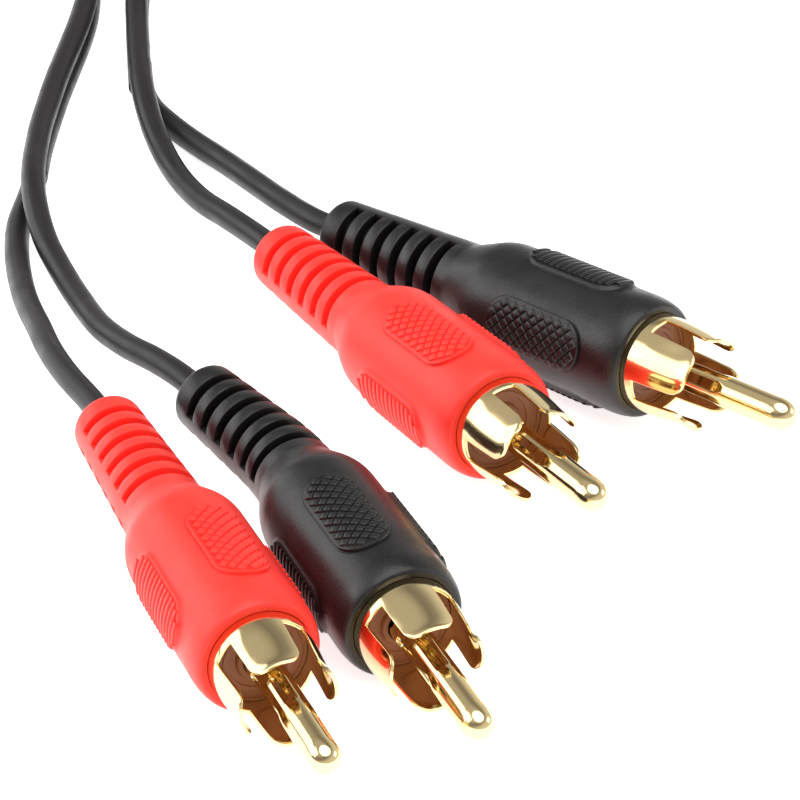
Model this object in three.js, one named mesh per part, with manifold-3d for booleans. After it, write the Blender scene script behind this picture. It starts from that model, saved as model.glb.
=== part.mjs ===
// A twin phono audio lead: two moulded plugs on each end of a flat twin cord, lying on a table.
// Millimetres, +Z up, and the table is Z = 0. The origin is under the middle of the four plugs.
import * as THREE from "three";
import { mergeVertices } from "three/addons/utils/BufferGeometryUtils.js";
import Module from "manifold-3d";

// Driving dimensions. Along a plug, 0 is the front face of the moulding and the tip is on the plus side.
const CLEARANCE = 0.3; // between pieces that touch on the real lead
const OVERCUT = 1; // how far a cutting shape runs past what it cuts
const SIDES = 20; // flats round a turned piece
const PIN_SIDES = 12; // and round a pin
const RELIEF_LENGTH = 18; // ribbed strain relief, with its plain collar
const RELIEF_REAR_RADIUS = 3.5;
const NECK_RADIUS = 4.25;
const BEND_LENGTH = 6; // of the relief, from the neck, where a relief that was bent curves
const BEND_STEPS = 3;
const SHOULDER_LENGTH = 6; // flare from the neck to the barrel
const SHOULDER_FULLNESS = 0.65; // 1 is a plain cone, and less is rounder
const SHOULDER_STEPS = 4;
const BARREL_LENGTH = 20.2;
const BARREL_TAPER = 0.35; // how much thinner its rear is
const REAR_ROUNDING = 1.1;
const RIM_DEPTH = 2.6; // rounded front rim, along the plug
const RIM_INSET = 0.65; // and across it
const FRONT_FACE_WIDTH = 0.3; // flat ring round the mouth
const SLOT_COUNT = 6; // slots along the relief, in two rows on opposite sides
const SLOT_WIDTH = 1.15;
const FIRST_SLOT = 3.4; // middle of the first slot, from the rear end
const LAST_SLOT = 1.6; // middle of the last slot, from the neck
const SLOT_FLOOR_WALL = 0.95; // left between a slot and the cord
const SLOT_SWEEP = 150; // degrees
const PAD_LENGTH = 12.4;
const PAD_FRONT = 5.5; // from the front face to the front end of a pad
const PAD_WIDTH = 5.4;
const PAD_PROUD = 0.5;
const PAD_ROOT = 0.4; // how far its root lies under the barrel's surface
const PAD_COUNT = 4;
const SHELL_RADIUS = 5; // ground shell, outside
const SHELL_WALL = 0.35;
const SHELL_DEPTH = 6; // inside the moulding
const RING_LENGTH = 0.5; // unbroken ring in front of the moulding
const PETAL_LENGTH = 6.1;
const PETAL_PINCH = 0.25; // how far the petals lean in at their tips
const PETAL_COUNT = 4;
const NOTCH_WIDTH = 2.4;
const PETAL_CORNER = 1.5;
const PIN_RADIUS = 1.6;
const PIN_WALL = 0.45;
const PIN_REACH = 17.3; // tip of the pin, in front of the moulding
const PIN_TAIL_WALL = 0.4;
const PIN_TAIL_LENGTH = 3;
const PIN_SLOT_WIDTH = 1.35;
const PIN_SLOT_START = 0.9;
const PIN_SLOT_END = 8.9;
const PIN_BORE_PAST_SLOTS = 1.7; // the nose is solid from there on
const INSULATOR_RECESS = 1;
const INSULATOR_BOSS_LENGTH = 1;
const INSULATOR_BOSS_WALL = 0.3;
const CORD_DIAMETER = 2.6; // one core of the twin cord
const JACKET_PAST_NECK = 0.7; // how far a lead's jacket runs on inside the barrel
const JACKET_STEPS = 9; // along the end of a jacket that is bent
const CORE_RADIUS = 0.5;
const CORE_IN_PIN = 1.6; // how far the core runs into the pin's tail
const SHIELD_WIRE_RADIUS = 0.35; // gathered braid
const LEAD_STRAIGHT = 3.6; // how far a lead runs straight behind its plug
const CORD_SIDES = 8;
const CORD_STEP = 6.2;

// The middle of each red plug's front face, and how the black plug of its pair lies beside it.
const FRONT_PAIR_X = -16.01;
const FRONT_PAIR_Y = -33.42;
const FRONT_PAIR_SPREAD = 1.81; // more than a barrel's diameter, between the middles of the two faces
const FRONT_PAIR_STAGGER = -0.54; // how much further forward the black one lies
const BACK_PAIR_X = 6.57;
const BACK_PAIR_Y = 5.09;
const BACK_PAIR_SPREAD = 7.03;
const BACK_PAIR_STAGGER = -2.41;

// Routes of the four single leads, from a little way behind the relief to where each pair joins.
const LEAD_ROUTES = {
  front_red: [
    [-36.5, 17.3, 6], [-38.6, 23.3, 5.2], [-40.3, 30.2, 4], [-42, 37.3, 2.7], [-43.2, 44.3, 1.7],
    [-43.9, 50.3, 1.3], [-44, 55.6, 1.3], [-43.3, 61.3, 1.3], [-42.8, 66.1, 1.3],
  ],
  front_black: [
    [-27.9, 18.4, 7.2], [-30.9, 23.1, 6], [-33.9, 29.3, 4.5], [-36.6, 37.4, 3], [-38.8, 44.1, 2.4],
    [-40.8, 50, 2.7], [-42.1, 55.3, 3.8], [-42.7, 60.7, 4.3], [-42.8, 66.1, 4.2],
  ],
  back_red: [
    [-21.5, 52, 4.1], [-24.8, 58.3, 2.8], [-27.5, 65.1, 1.9], [-29.5, 70.8, 2.2], [-30.9, 75.7, 3.1],
    [-31.9, 80.9, 4.1], [-32.4, 86.1, 4.2],
  ],
  back_black: [
    [-16.1, 55.7, 4.1], [-19.5, 62.5, 2.8], [-22.6, 68.4, 1.8], [-25.6, 73, 1.3], [-28.5, 77.1, 1.3],
    [-31, 81.5, 1.3], [-32.3, 85.95, 1.3],
  ],
};

// The twin cord stands on its edge, one core over the other, and its routes follow the middle of its section.
const TWIN_ROUTES = {
  front_twin_cord: [
    [-42.8, 66.5, 2.75], [-42.6, 71.7, 2.7], [-42.1, 77.7, 2.6], [-41.4, 84.2, 2.6], [-40.5, 90.7, 2.6],
    [-39.7, 96.7, 2.6], [-39.2, 102.7, 2.6], [-39.3, 108.7, 2.6], [-40.3, 116.7, 2.7], [-42.3, 124.2, 3],
    [-44.35, 131.6, 3.4],
  ],
  back_twin_cord: [
    [-32.5, 86.5, 2.75], [-32.8, 90.7, 2.7], [-33.2, 96.7, 2.6], [-33.5, 102.2, 2.7], [-33.5, 107, 3.3],
    [-32.8, 111.5, 4.5], [-31.2, 115.7, 6.1], [-27.3, 120.4, 8],
  ],
};

// The coil: the unseen length, wound round in two layers, with a strap round it.
const COIL_X = -17.9;
const COIL_Y = 152.7;
const COIL_MIDDLE_RADIUS = 27.65;
const COIL_WIDTH = 9.5; // between its inner and outer walls
const COIL_LAYERS = 2;
const LAYER_GAP = 0.1;
const COIL_SIDES = 48;
const TIE_WIDTH = 8;
const TIE_THICKNESS = 0.6;
const TIE_FIT = 0.3; // between the strap and the flat top and bottom of the coil
const TIE_SIDE_FIT = 0.7; // and beside its curved walls

// Places that follow from the sizes above.
const NECK = -(SHOULDER_LENGTH + BARREL_LENGTH);
const BODY_REAR = NECK - RELIEF_LENGTH;
const CORD_HOLE_RADIUS = CORD_DIAMETER / 2 + CLEARANCE;
const SLOT_PITCH = (RELIEF_LENGTH - FIRST_SLOT - LAST_SLOT) / (SLOT_COUNT - 1);
const SLOT_FLOOR_RADIUS = CORD_HOLE_RADIUS + SLOT_FLOOR_WALL;
const CAVITY_RADIUS = SHELL_RADIUS + CLEARANCE;
const CAVITY_REAR = -(SHELL_DEPTH + CLEARANCE);
const BARREL_FRONT_RADIUS = CAVITY_RADIUS + FRONT_FACE_WIDTH + RIM_INSET;
const BARREL_REAR_RADIUS = BARREL_FRONT_RADIUS - BARREL_TAPER;
const PAD_RADIUS = (BARREL_REAR_RADIUS + BARREL_FRONT_RADIUS) / 2 + PAD_PROUD;
const JACKET_END = NECK + JACKET_PAST_NECK;
const PIN_TAIL_BORE = CORE_RADIUS + CLEARANCE;
const PIN_BORE_END = PIN_SLOT_END + PIN_BORE_PAST_SLOTS;
const BOSS_RADIUS = PIN_RADIUS + CLEARANCE + INSULATOR_BOSS_WALL;
const SHELL_REAR_HOLE = BOSS_RADIUS + CLEARANCE;
const PIN_REAR = -(SHELL_DEPTH + INSULATOR_BOSS_LENGTH + PIN_TAIL_LENGTH);
const SHIELD_WIRE_OFFSET = CORE_RADIUS + CLEARANCE + SHIELD_WIRE_RADIUS;
const WIRE_SPACE_RADIUS = SHIELD_WIRE_OFFSET + SHIELD_WIRE_RADIUS + CLEARANCE;
const TAG_OFFSET = (SHELL_REAR_HOLE + SHELL_RADIUS) / 2;
const TAG_SPACE_RADIUS = TAG_OFFSET + SHIELD_WIRE_RADIUS + CLEARANCE;
const COIL_INNER_RADIUS = COIL_MIDDLE_RADIUS - COIL_WIDTH / 2;
const COIL_OUTER_RADIUS = COIL_MIDDLE_RADIUS + COIL_WIDTH / 2;
const COIL_BASE = TIE_THICKNESS + TIE_FIT;
const COIL_TOP = COIL_BASE + COIL_LAYERS * (2 * CORD_DIAMETER + LAYER_GAP);

// Each plug also has the way it points, its tilt, and the turns of its body and contacts about its axis.
// The front black plug's relief has taken a bend to one side, in degrees.
const frontRed = { x: FRONT_PAIR_X, y: FRONT_PAIR_Y, heading: -68.4 };
const frontBlack = beside(frontRed, FRONT_PAIR_SPREAD, FRONT_PAIR_STAGGER);
const backRed = { x: BACK_PAIR_X, y: BACK_PAIR_Y, heading: -59 };
const backBlack = beside(backRed, BACK_PAIR_SPREAD, BACK_PAIR_STAGGER);
const PLUGS = [
  { name: "front_red", ...frontRed, tilt: 0, bodyTurn: -9, contactTurn: 12, red: true },
  { name: "front_black", ...frontBlack, heading: -66.5, tilt: -1.6, bodyTurn: 17, contactTurn: 6, bend: 11.3 },
  { name: "back_red", ...backRed, tilt: 3.1, bodyTurn: 15, contactTurn: 51, red: true },
  { name: "back_black", ...backBlack, heading: -43.3, tilt: 2.8, bodyTurn: 75, contactTurn: 53 },
];

function beside({ x, y, heading }, spread, stagger) {
  const yaw = THREE.MathUtils.degToRad(heading);
  const across = 2 * BARREL_FRONT_RADIUS + spread;
  return {
    x: x + stagger * Math.cos(yaw) - across * Math.sin(yaw),
    y: y + stagger * Math.sin(yaw) + across * Math.cos(yaw),
  };
}

const wasm = await Module();
wasm.setup();

function toSolid(geometry) {
  const bare = geometry.index ? geometry.toNonIndexed() : geometry.clone();
  bare.deleteAttribute("normal");
  bare.deleteAttribute("uv");
  const merged = mergeVertices(bare, 1e-4);
  return new wasm.Manifold(
    new wasm.Mesh({
      numProp: 3,
      vertProperties: merged.attributes.position.array,
      triVerts: new Uint32Array(merged.index.array),
    }),
  );
}

function toGeometry(solid) {
  const mesh = solid.getMesh();
  const geometry = new THREE.BufferGeometry();
  geometry.setAttribute("position", new THREE.BufferAttribute(mesh.vertProperties, 3));
  geometry.setIndex(new THREE.BufferAttribute(mesh.triVerts, 1));
  return geometry;
}

// Turns a closed outline of [radius, place along Z] points about the Z axis.
function turned(outline, sides = SIDES) {
  const points = outline.map(([radius, along]) => new THREE.Vector2(radius, along));
  if (THREE.ShapeUtils.area(points) < 0) points.reverse();
  points.push(points[0].clone());
  return new THREE.LatheGeometry(points, sides).rotateX(Math.PI / 2);
}

// A rod along Z, from one place to another.
function rod(radius, from, to, steps = 1) {
  const length = to - from;
  return new THREE.CylinderGeometry(radius, radius, length, PIN_SIDES, steps)
    .rotateX(Math.PI / 2)
    .translate(0, 0, from + length / 2);
}

// Moves a point behind the neck to where a bent relief has it: round an arc, and then straight on.
function bendPoint(point, bend) {
  const behind = NECK - point.z;
  if (!bend || behind <= 0) return point;
  const whole = THREE.MathUtils.degToRad(bend);
  const angle = whole * Math.min(behind / BEND_LENGTH, 1);
  const arcRadius = BEND_LENGTH / whole;
  const straight = Math.max(behind - BEND_LENGTH, 0);
  const aside = arcRadius * (1 - Math.cos(angle)) + straight * Math.sin(angle);
  const back = arcRadius * Math.sin(angle) + straight * Math.cos(angle);
  point.z = NECK - back + point.y * Math.sin(angle);
  point.y = aside + point.y * Math.cos(angle);
  return point;
}

// Bends a shape that will be turned about the plug's axis afterwards.
function bent(geometry, turn, bend) {
  geometry.rotateZ(turn);
  const position = geometry.getAttribute("position");
  const point = new THREE.Vector3();
  for (let i = 0; i < position.count; i++) {
    bendPoint(point.fromBufferAttribute(position, i), bend);
    position.setXYZ(i, point.x, point.y, point.z);
  }
  return geometry.rotateZ(-turn);
}

// Points of a quarter of an ellipse, from its start radius and place to its end.
function quarter(from, to, steps, bulge) {
  return Array.from({ length: steps + 1 }, (_, i) => {
    const angle = (i / steps) * (Math.PI / 2);
    const across = bulge === "outwards first" ? Math.sin(angle) : 1 - Math.cos(angle);
    const along = bulge === "outwards first" ? 1 - Math.cos(angle) : Math.sin(angle);
    return [from[0] + (to[0] - from[0]) * across, from[1] + (to[1] - from[1]) * along];
  });
}

// A prism that stands along +X, from the axis outwards, over an outline drawn across the plug.
function radialPrism(shape, inner, outer, turn) {
  return new THREE.ExtrudeGeometry(shape, { depth: outer - inner, bevelEnabled: false, curveSegments: 3 })
    .translate(0, 0, inner)
    .applyMatrix4(
      new THREE.Matrix4().makeBasis(
        new THREE.Vector3(0, 1, 0),
        new THREE.Vector3(0, 0, 1),
        new THREE.Vector3(1, 0, 0),
      ),
    )
    .rotateZ(turn);
}

// A slot with round ends, lying along Y of its own plane.
function roundEnded(width, from, to) {
  const half = width / 2;
  const shape = new THREE.Shape();
  shape.absarc(0, to - half, half, 0, Math.PI);
  shape.absarc(0, from + half, half, Math.PI, 2 * Math.PI);
  shape.closePath();
  return shape;
}

// Rings behind the neck, so that the relief can bend.
function bendRings(radiusAt) {
  return Array.from({ length: BEND_STEPS }, (_, i) => {
    const behind = (BEND_LENGTH * (i + 1)) / BEND_STEPS;
    return [radiusAt(behind / RELIEF_LENGTH), NECK - behind];
  });
}

// The flare from the neck to the rear of the barrel.
function shoulder() {
  return Array.from({ length: SHOULDER_STEPS + 1 }, (_, i) => {
    const part = i / SHOULDER_STEPS;
    const rise = BARREL_REAR_RADIUS - NECK_RADIUS;
    return [NECK_RADIUS + rise * part ** SHOULDER_FULLNESS, NECK + SHOULDER_LENGTH * part];
  });
}

function overmouldOutline() {
  const reliefTaper = NECK_RADIUS - RELIEF_REAR_RADIUS;
  return [
    [CORD_HOLE_RADIUS, BODY_REAR],
    ...quarter(
      [RELIEF_REAR_RADIUS - REAR_ROUNDING, BODY_REAR],
      [RELIEF_REAR_RADIUS, BODY_REAR + REAR_ROUNDING],
      2,
      "outwards first",
    ),
    ...bendRings((part) => NECK_RADIUS - reliefTaper * part).reverse(),
    ...shoulder(),
    ...quarter([BARREL_FRONT_RADIUS, -RIM_DEPTH], [BARREL_FRONT_RADIUS - RIM_INSET, 0], 3, "along first"),
    [CAVITY_RADIUS, 0],
    [CAVITY_RADIUS, CAVITY_REAR],
    [TAG_SPACE_RADIUS, CAVITY_REAR],
    [WIRE_SPACE_RADIUS, JACKET_END],
    [CORD_HOLE_RADIUS, JACKET_END],
    ...bendRings(() => CORD_HOLE_RADIUS),
  ];
}

function reliefSlot(index, side) {
  const half = THREE.MathUtils.degToRad(SLOT_SWEEP / 2);
  const sector = new THREE.Shape();
  sector.absarc(0, 0, NECK_RADIUS + OVERCUT, side - half, side + half, false);
  sector.absarc(0, 0, SLOT_FLOOR_RADIUS, side + half, side - half, true);
  sector.closePath();
  const middle = BODY_REAR + FIRST_SLOT + index * SLOT_PITCH;
  return new THREE.ExtrudeGeometry(sector, { depth: SLOT_WIDTH, bevelEnabled: false, curveSegments: 6 })
    .translate(0, 0, middle - SLOT_WIDTH / 2);
}

function overmould(turn, bend) {
  let body = toSolid(bent(turned(overmouldOutline()), turn, bend));
  for (let i = 0; i < SLOT_COUNT; i++) {
    body = body.subtract(toSolid(bent(reliefSlot(i, 0), turn, bend)));
    body = body.subtract(toSolid(bent(reliefSlot(i, Math.PI), turn, bend)));
  }
  const from = -PAD_FRONT - PAD_LENGTH;
  const to = -PAD_FRONT;
  const inner = BARREL_REAR_RADIUS - PAD_ROOT;
  const sleeve = toSolid(turned([[inner, from], [PAD_RADIUS, from], [PAD_RADIUS, to], [inner, to]]));
  for (let i = 0; i < PAD_COUNT; i++) {
    const turn = (i * 2 * Math.PI) / PAD_COUNT;
    const outline = roundEnded(PAD_WIDTH, from, to);
    const prism = toSolid(radialPrism(outline, inner - OVERCUT, PAD_RADIUS + OVERCUT, turn));
    body = body.add(sleeve.intersect(prism));
  }
  return toGeometry(body);
}

// The notch between two petals, which opens out over their rounded corners.
function petalNotch() {
  const half = NOTCH_WIDTH / 2;
  const tip = RING_LENGTH + PETAL_LENGTH;
  const shape = new THREE.Shape();
  shape.moveTo(-half, RING_LENGTH);
  shape.lineTo(half, RING_LENGTH);
  shape.lineTo(half, tip - PETAL_CORNER);
  shape.absarc(half + PETAL_CORNER, tip - PETAL_CORNER, PETAL_CORNER, Math.PI, Math.PI / 2, true);
  shape.lineTo(half + PETAL_CORNER, tip + OVERCUT);
  shape.lineTo(-half - PETAL_CORNER, tip + OVERCUT);
  shape.lineTo(-half - PETAL_CORNER, tip);
  shape.absarc(-half - PETAL_CORNER, tip - PETAL_CORNER, PETAL_CORNER, Math.PI / 2, 0, true);
  shape.closePath();
  return shape;
}

function groundShell() {
  const tip = RING_LENGTH + PETAL_LENGTH;
  const inside = SHELL_RADIUS - SHELL_WALL;
  let shell = toSolid(
    turned([
      [SHELL_REAR_HOLE, -SHELL_DEPTH],
      [SHELL_RADIUS, -SHELL_DEPTH],
      [SHELL_RADIUS, RING_LENGTH],
      [SHELL_RADIUS - PETAL_PINCH, tip],
      [inside - PETAL_PINCH, tip],
      [inside, RING_LENGTH],
      [inside, SHELL_WALL - SHELL_DEPTH],
      [SHELL_REAR_HOLE, SHELL_WALL - SHELL_DEPTH],
    ]),
  );
  for (let i = 0; i < PETAL_COUNT; i++) {
    const turn = ((i + 0.5) * 2 * Math.PI) / PETAL_COUNT;
    const notch = radialPrism(petalNotch(), inside / 2, SHELL_RADIUS + OVERCUT, turn);
    shell = shell.subtract(toSolid(notch));
  }
  return toGeometry(shell);
}

function centrePin() {
  const noseMiddle = PIN_REACH - PIN_RADIUS;
  const tailEnd = PIN_REAR + PIN_TAIL_LENGTH;
  let pin = toSolid(
    turned(
      [
        [PIN_TAIL_BORE, PIN_REAR],
        [PIN_TAIL_BORE + PIN_TAIL_WALL, PIN_REAR],
        [PIN_TAIL_BORE + PIN_TAIL_WALL, tailEnd],
        [PIN_RADIUS, tailEnd],
        ...quarter([PIN_RADIUS, noseMiddle], [0, PIN_REACH], 4, "along first"),
        [0, PIN_BORE_END],
        [PIN_RADIUS - PIN_WALL, PIN_BORE_END],
        [PIN_RADIUS - PIN_WALL, tailEnd],
        [PIN_TAIL_BORE, tailEnd],
      ],
      PIN_SIDES,
    ),
  );
  const outer = PIN_RADIUS + OVERCUT;
  for (const turn of [0, Math.PI / 2]) {
    const slot = roundEnded(PIN_SLOT_WIDTH, PIN_SLOT_START, PIN_SLOT_END);
    pin = pin.subtract(toSolid(radialPrism(slot, -outer, outer, turn)));
  }
  return toGeometry(pin);
}

function insulator() {
  const bore = PIN_RADIUS + CLEARANCE;
  const disc = SHELL_RADIUS - SHELL_WALL - CLEARANCE;
  const seat = SHELL_WALL + CLEARANCE - SHELL_DEPTH;
  return turned([
    [bore, -SHELL_DEPTH - INSULATOR_BOSS_LENGTH],
    [BOSS_RADIUS, -SHELL_DEPTH - INSULATOR_BOSS_LENGTH],
    [BOSS_RADIUS, seat],
    [disc, seat],
    [disc, -INSULATOR_RECESS],
    [bore, -INSULATOR_RECESS],
  ]);
}

function regularSection(radius) {
  const points = Array.from({ length: CORD_SIDES }, (_, i) => {
    const angle = ((i + 0.5) * 2 * Math.PI) / CORD_SIDES;
    return new THREE.Vector2(radius * Math.cos(angle), radius * Math.sin(angle));
  });
  return new THREE.Shape(points);
}

// The twin cord's outer shape: as high as two cores, and as thick as one.
function twinSection() {
  const radius = CORD_DIAMETER / 2;
  const points = Array.from({ length: CORD_SIDES }, (_, i) => {
    const angle = ((i + 0.5) * 2 * Math.PI) / CORD_SIDES;
    const upper = Math.cos(angle) > 0 ? radius : -radius;
    return new THREE.Vector2(radius * Math.cos(angle) + upper, radius * Math.sin(angle));
  });
  return new THREE.Shape(points);
}

// A solid that follows a route: one straight piece, or a piece for each step along it.
function alongRoute(section, route, step = Infinity) {
  const curve = new THREE.CatmullRomCurve3(route.map((point) => new THREE.Vector3(...point)));
  const steps = Math.max(1, Math.round(curve.getLength() / step));
  return new THREE.ExtrudeGeometry(section, { steps, bevelEnabled: false, extrudePath: curve });
}

function shieldWire() {
  const route = [
    [SHIELD_WIRE_OFFSET, 0, JACKET_END + CLEARANCE],
    [TAG_OFFSET, 0, CAVITY_REAR],
  ];
  return alongRoute(regularSection(SHIELD_WIRE_RADIUS), route);
}

const finishes = {
  redPvc: new THREE.MeshStandardMaterial({ color: 0xff5148, roughness: 0.5, metalness: 0 }),
  blackPvc: new THREE.MeshStandardMaterial({ color: 0x2b292b, roughness: 0.45, metalness: 0 }),
  gold: new THREE.MeshStandardMaterial({ color: 0xd8bd7a, roughness: 0.15, metalness: 1 }),
  insulator: new THREE.MeshStandardMaterial({ color: 0x845238, roughness: 0.6, metalness: 0 }),
  jacket: new THREE.MeshStandardMaterial({ color: 0x343133, roughness: 0.6, metalness: 0 }),
  core: new THREE.MeshStandardMaterial({ color: 0xe8e4da, roughness: 0.5, metalness: 0 }),
  copper: new THREE.MeshStandardMaterial({ color: 0xb06a3b, roughness: 0.35, metalness: 1 }),
  strap: new THREE.MeshStandardMaterial({ color: 0x1f1f20, roughness: 0.8, metalness: 0 }),
};

const lead = new THREE.Group();

function piece(parent, name, geometry, finish) {
  const mesh = new THREE.Mesh(geometry, finish);
  mesh.name = name;
  parent.add(mesh);
  return mesh;
}

// The lowest part of a tilted plug is an end of its pads, or the widest part of its front rim.
function restingHeight(tilt) {
  const feet = [
    [-PAD_FRONT - PAD_LENGTH, PAD_RADIUS],
    [-PAD_FRONT, PAD_RADIUS],
    [-RIM_DEPTH, BARREL_FRONT_RADIUS],
  ];
  return Math.max(...feet.map(([along, radius]) => radius * Math.cos(tilt) - along * Math.sin(tilt)));
}

const shared = {
  groundShell: groundShell(),
  centrePin: centrePin(),
  insulator: insulator(),
  coreWire: rod(CORE_RADIUS, JACKET_END + CLEARANCE, PIN_REAR + CORE_IN_PIN),
  shieldWire: shieldWire(),
};

// A plug's own frame has its axis along Z and its upper side along X.
function plugFrame({ x, y, heading, tilt }) {
  const yaw = THREE.MathUtils.degToRad(heading);
  const pitch = THREE.MathUtils.degToRad(tilt);
  const axis = new THREE.Vector3(
    Math.cos(yaw) * Math.cos(pitch),
    Math.sin(yaw) * Math.cos(pitch),
    Math.sin(pitch),
  );
  const upper = new THREE.Vector3(0, 0, 1).addScaledVector(axis, -axis.z).normalize();
  const side = new THREE.Vector3().crossVectors(axis, upper);
  return new THREE.Matrix4().makeBasis(upper, side, axis).setPosition(x, y, restingHeight(pitch));
}

function addPlug(placement) {
  const { name, bend, red } = placement;
  const bodyTurn = THREE.MathUtils.degToRad(placement.bodyTurn);
  const contactTurn = THREE.MathUtils.degToRad(placement.contactTurn);
  const plug = new THREE.Group();
  plug.applyMatrix4(plugFrame(placement));
  lead.add(plug);
  const body = new THREE.Group();
  body.rotation.z = bodyTurn;
  plug.add(body);
  const contacts = new THREE.Group();
  contacts.rotation.z = contactTurn;
  plug.add(contacts);
  const jacket = rod(CORD_DIAMETER / 2, BODY_REAR, JACKET_END, bend ? JACKET_STEPS : 1);
  piece(body, `${name}_overmould`, overmould(bodyTurn, bend), red ? finishes.redPvc : finishes.blackPvc);
  piece(contacts, `${name}_ground_shell`, shared.groundShell, finishes.gold);
  piece(contacts, `${name}_centre_pin`, shared.centrePin, finishes.gold);
  piece(contacts, `${name}_insulator`, shared.insulator, finishes.insulator);
  piece(contacts, `${name}_jacket_end`, bent(jacket, contactTurn, bend), finishes.jacket);
  piece(contacts, `${name}_core_wire`, shared.coreWire, finishes.core);
  piece(contacts, `${name}_shield_wire`, shared.shieldWire, finishes.copper);
}

// A lead leaves its plug straight, and then follows its route.
function leadRoute(placement) {
  const frame = plugFrame(placement);
  const exits = [CLEARANCE, LEAD_STRAIGHT].map((distance) =>
    bendPoint(new THREE.Vector3(0, 0, BODY_REAR - distance), placement.bend).applyMatrix4(frame).toArray(),
  );
  return [...exits, ...LEAD_ROUTES[placement.name]];
}

function addCords() {
  for (const placement of PLUGS) {
    const geometry = alongRoute(regularSection(CORD_DIAMETER / 2), leadRoute(placement), CORD_STEP);
    piece(lead, `${placement.name}_lead`, geometry, finishes.jacket);
  }
  for (const [name, route] of Object.entries(TWIN_ROUTES)) {
    piece(lead, name, alongRoute(twinSection(), route, CORD_STEP), finishes.jacket);
  }
}

function addCoil() {
  const ring = turned(
    [
      [COIL_INNER_RADIUS, COIL_BASE],
      [COIL_OUTER_RADIUS, COIL_BASE],
      [COIL_OUTER_RADIUS, COIL_TOP],
      [COIL_INNER_RADIUS, COIL_TOP],
    ],
    COIL_SIDES,
  );
  piece(lead, "cord_coil", ring, finishes.jacket).position.set(COIL_X, COIL_Y, 0);
}

// The strap is drawn in the plane of the coil's section and lies on the far side of the coil.
function addCoilTie() {
  const box = (inset) => {
    const left = COIL_INNER_RADIUS - TIE_SIDE_FIT - inset;
    const right = COIL_OUTER_RADIUS + TIE_SIDE_FIT + inset;
    const low = COIL_BASE - TIE_FIT - inset;
    const high = COIL_TOP + TIE_FIT + inset;
    const corners = [[left, low], [right, low], [right, high], [left, high]];
    return corners.map(([across, up]) => new THREE.Vector2(across, up));
  };
  const loop = new THREE.Shape(box(TIE_THICKNESS));
  loop.holes.push(new THREE.Path(box(0)));
  const strap = new THREE.ExtrudeGeometry(loop, { depth: TIE_WIDTH, bevelEnabled: false })
    .translate(0, 0, -TIE_WIDTH / 2)
    .rotateX(Math.PI / 2)
    .rotateZ(Math.PI / 2);
  piece(lead, "coil_tie", strap, finishes.strap).position.set(COIL_X, COIL_Y, 0);
}

PLUGS.forEach(addPlug);
addCords();
addCoil();
addCoilTie();

export default lead;
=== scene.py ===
# %% [markdown]
# # A twin audio lead with moulded phono plugs
# Four plugs lie on a white table: a red and a black one on each end of a flat twin cord.
# Each plug is a soft moulding with a ribbed strain relief at the back, four grip pads on its
# barrel, and gold-plated contacts at the front: a ground shell of four petals, and a split pin.
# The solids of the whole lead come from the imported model, which stays as a fixed frame.
# Every piece that is made below stands in the place of one of those solids.

# %% Load the frame
import math

import bmesh
import bpy
from mathutils import Matrix, Vector
from mathutils.geometry import interpolate_bezier


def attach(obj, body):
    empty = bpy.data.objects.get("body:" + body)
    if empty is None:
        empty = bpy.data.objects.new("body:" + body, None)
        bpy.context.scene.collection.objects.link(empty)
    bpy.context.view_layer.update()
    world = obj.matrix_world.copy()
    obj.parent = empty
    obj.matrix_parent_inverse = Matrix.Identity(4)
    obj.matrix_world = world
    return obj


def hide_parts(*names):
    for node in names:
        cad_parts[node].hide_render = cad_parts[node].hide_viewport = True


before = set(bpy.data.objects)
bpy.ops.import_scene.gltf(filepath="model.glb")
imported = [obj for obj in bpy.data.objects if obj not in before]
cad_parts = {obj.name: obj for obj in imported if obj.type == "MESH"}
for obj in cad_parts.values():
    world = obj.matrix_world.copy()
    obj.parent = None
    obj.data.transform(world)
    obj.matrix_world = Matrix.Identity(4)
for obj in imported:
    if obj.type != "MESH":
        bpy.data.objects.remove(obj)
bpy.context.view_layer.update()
print("CAD nodes:", len(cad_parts))

# %% [markdown]
# ## The camera
# The photograph looks down at the plugs from in front, at about 32 degrees, through a long lens.
# A long lens a good way off keeps the far plugs nearly as large as the near ones.
# The camera is placed by its point and the point that it looks at, which is easier to reason
# about than three angles.

# %% Camera
MM = 0.001
CAMERA_PLACE = Vector((-3.65, -412.91, 270.33)) * MM
CAMERA_AIM = Vector((-3.65, 11.84, 6.6)) * MM
LENS = 229.5

camera_data = bpy.data.cameras.new("camera")
camera_data.lens = LENS
camera_data.sensor_width = 36
camera_data.clip_start = 0.01
camera = bpy.data.objects.new("camera", camera_data)
bpy.context.scene.collection.objects.link(camera)
camera.location = CAMERA_PLACE
camera.rotation_euler = (CAMERA_AIM - CAMERA_PLACE).to_track_quat("-Z", "Y").to_euler()
bpy.context.scene.camera = camera
print("Camera distance in mm:", round((CAMERA_AIM - CAMERA_PLACE).length / MM))

# %% [markdown]
# ## The table and the light
# A product photograph on white has almost no shadow. A bright floor under broad soft light
# gives that: the floor is lit past white, so that only the darkest part of a contact shadow
# still shows. Gold needs something to mirror, so the sky is not one flat colour. It is bright
# at the horizon, duller half way up and brighter again overhead, and the whole ramp leans to
# one side. That draws the stripes along the pins, and shades each petal from olive to tan.

# %% Table
floor_bm = bmesh.new()
bmesh.ops.create_grid(floor_bm, x_segments=1, y_segments=1, size=3)
floor_mesh = bpy.data.meshes.new("table")
floor_bm.to_mesh(floor_mesh)
floor_bm.free()
floor = bpy.data.objects.new("table", floor_mesh)
bpy.context.scene.collection.objects.link(floor)

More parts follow.
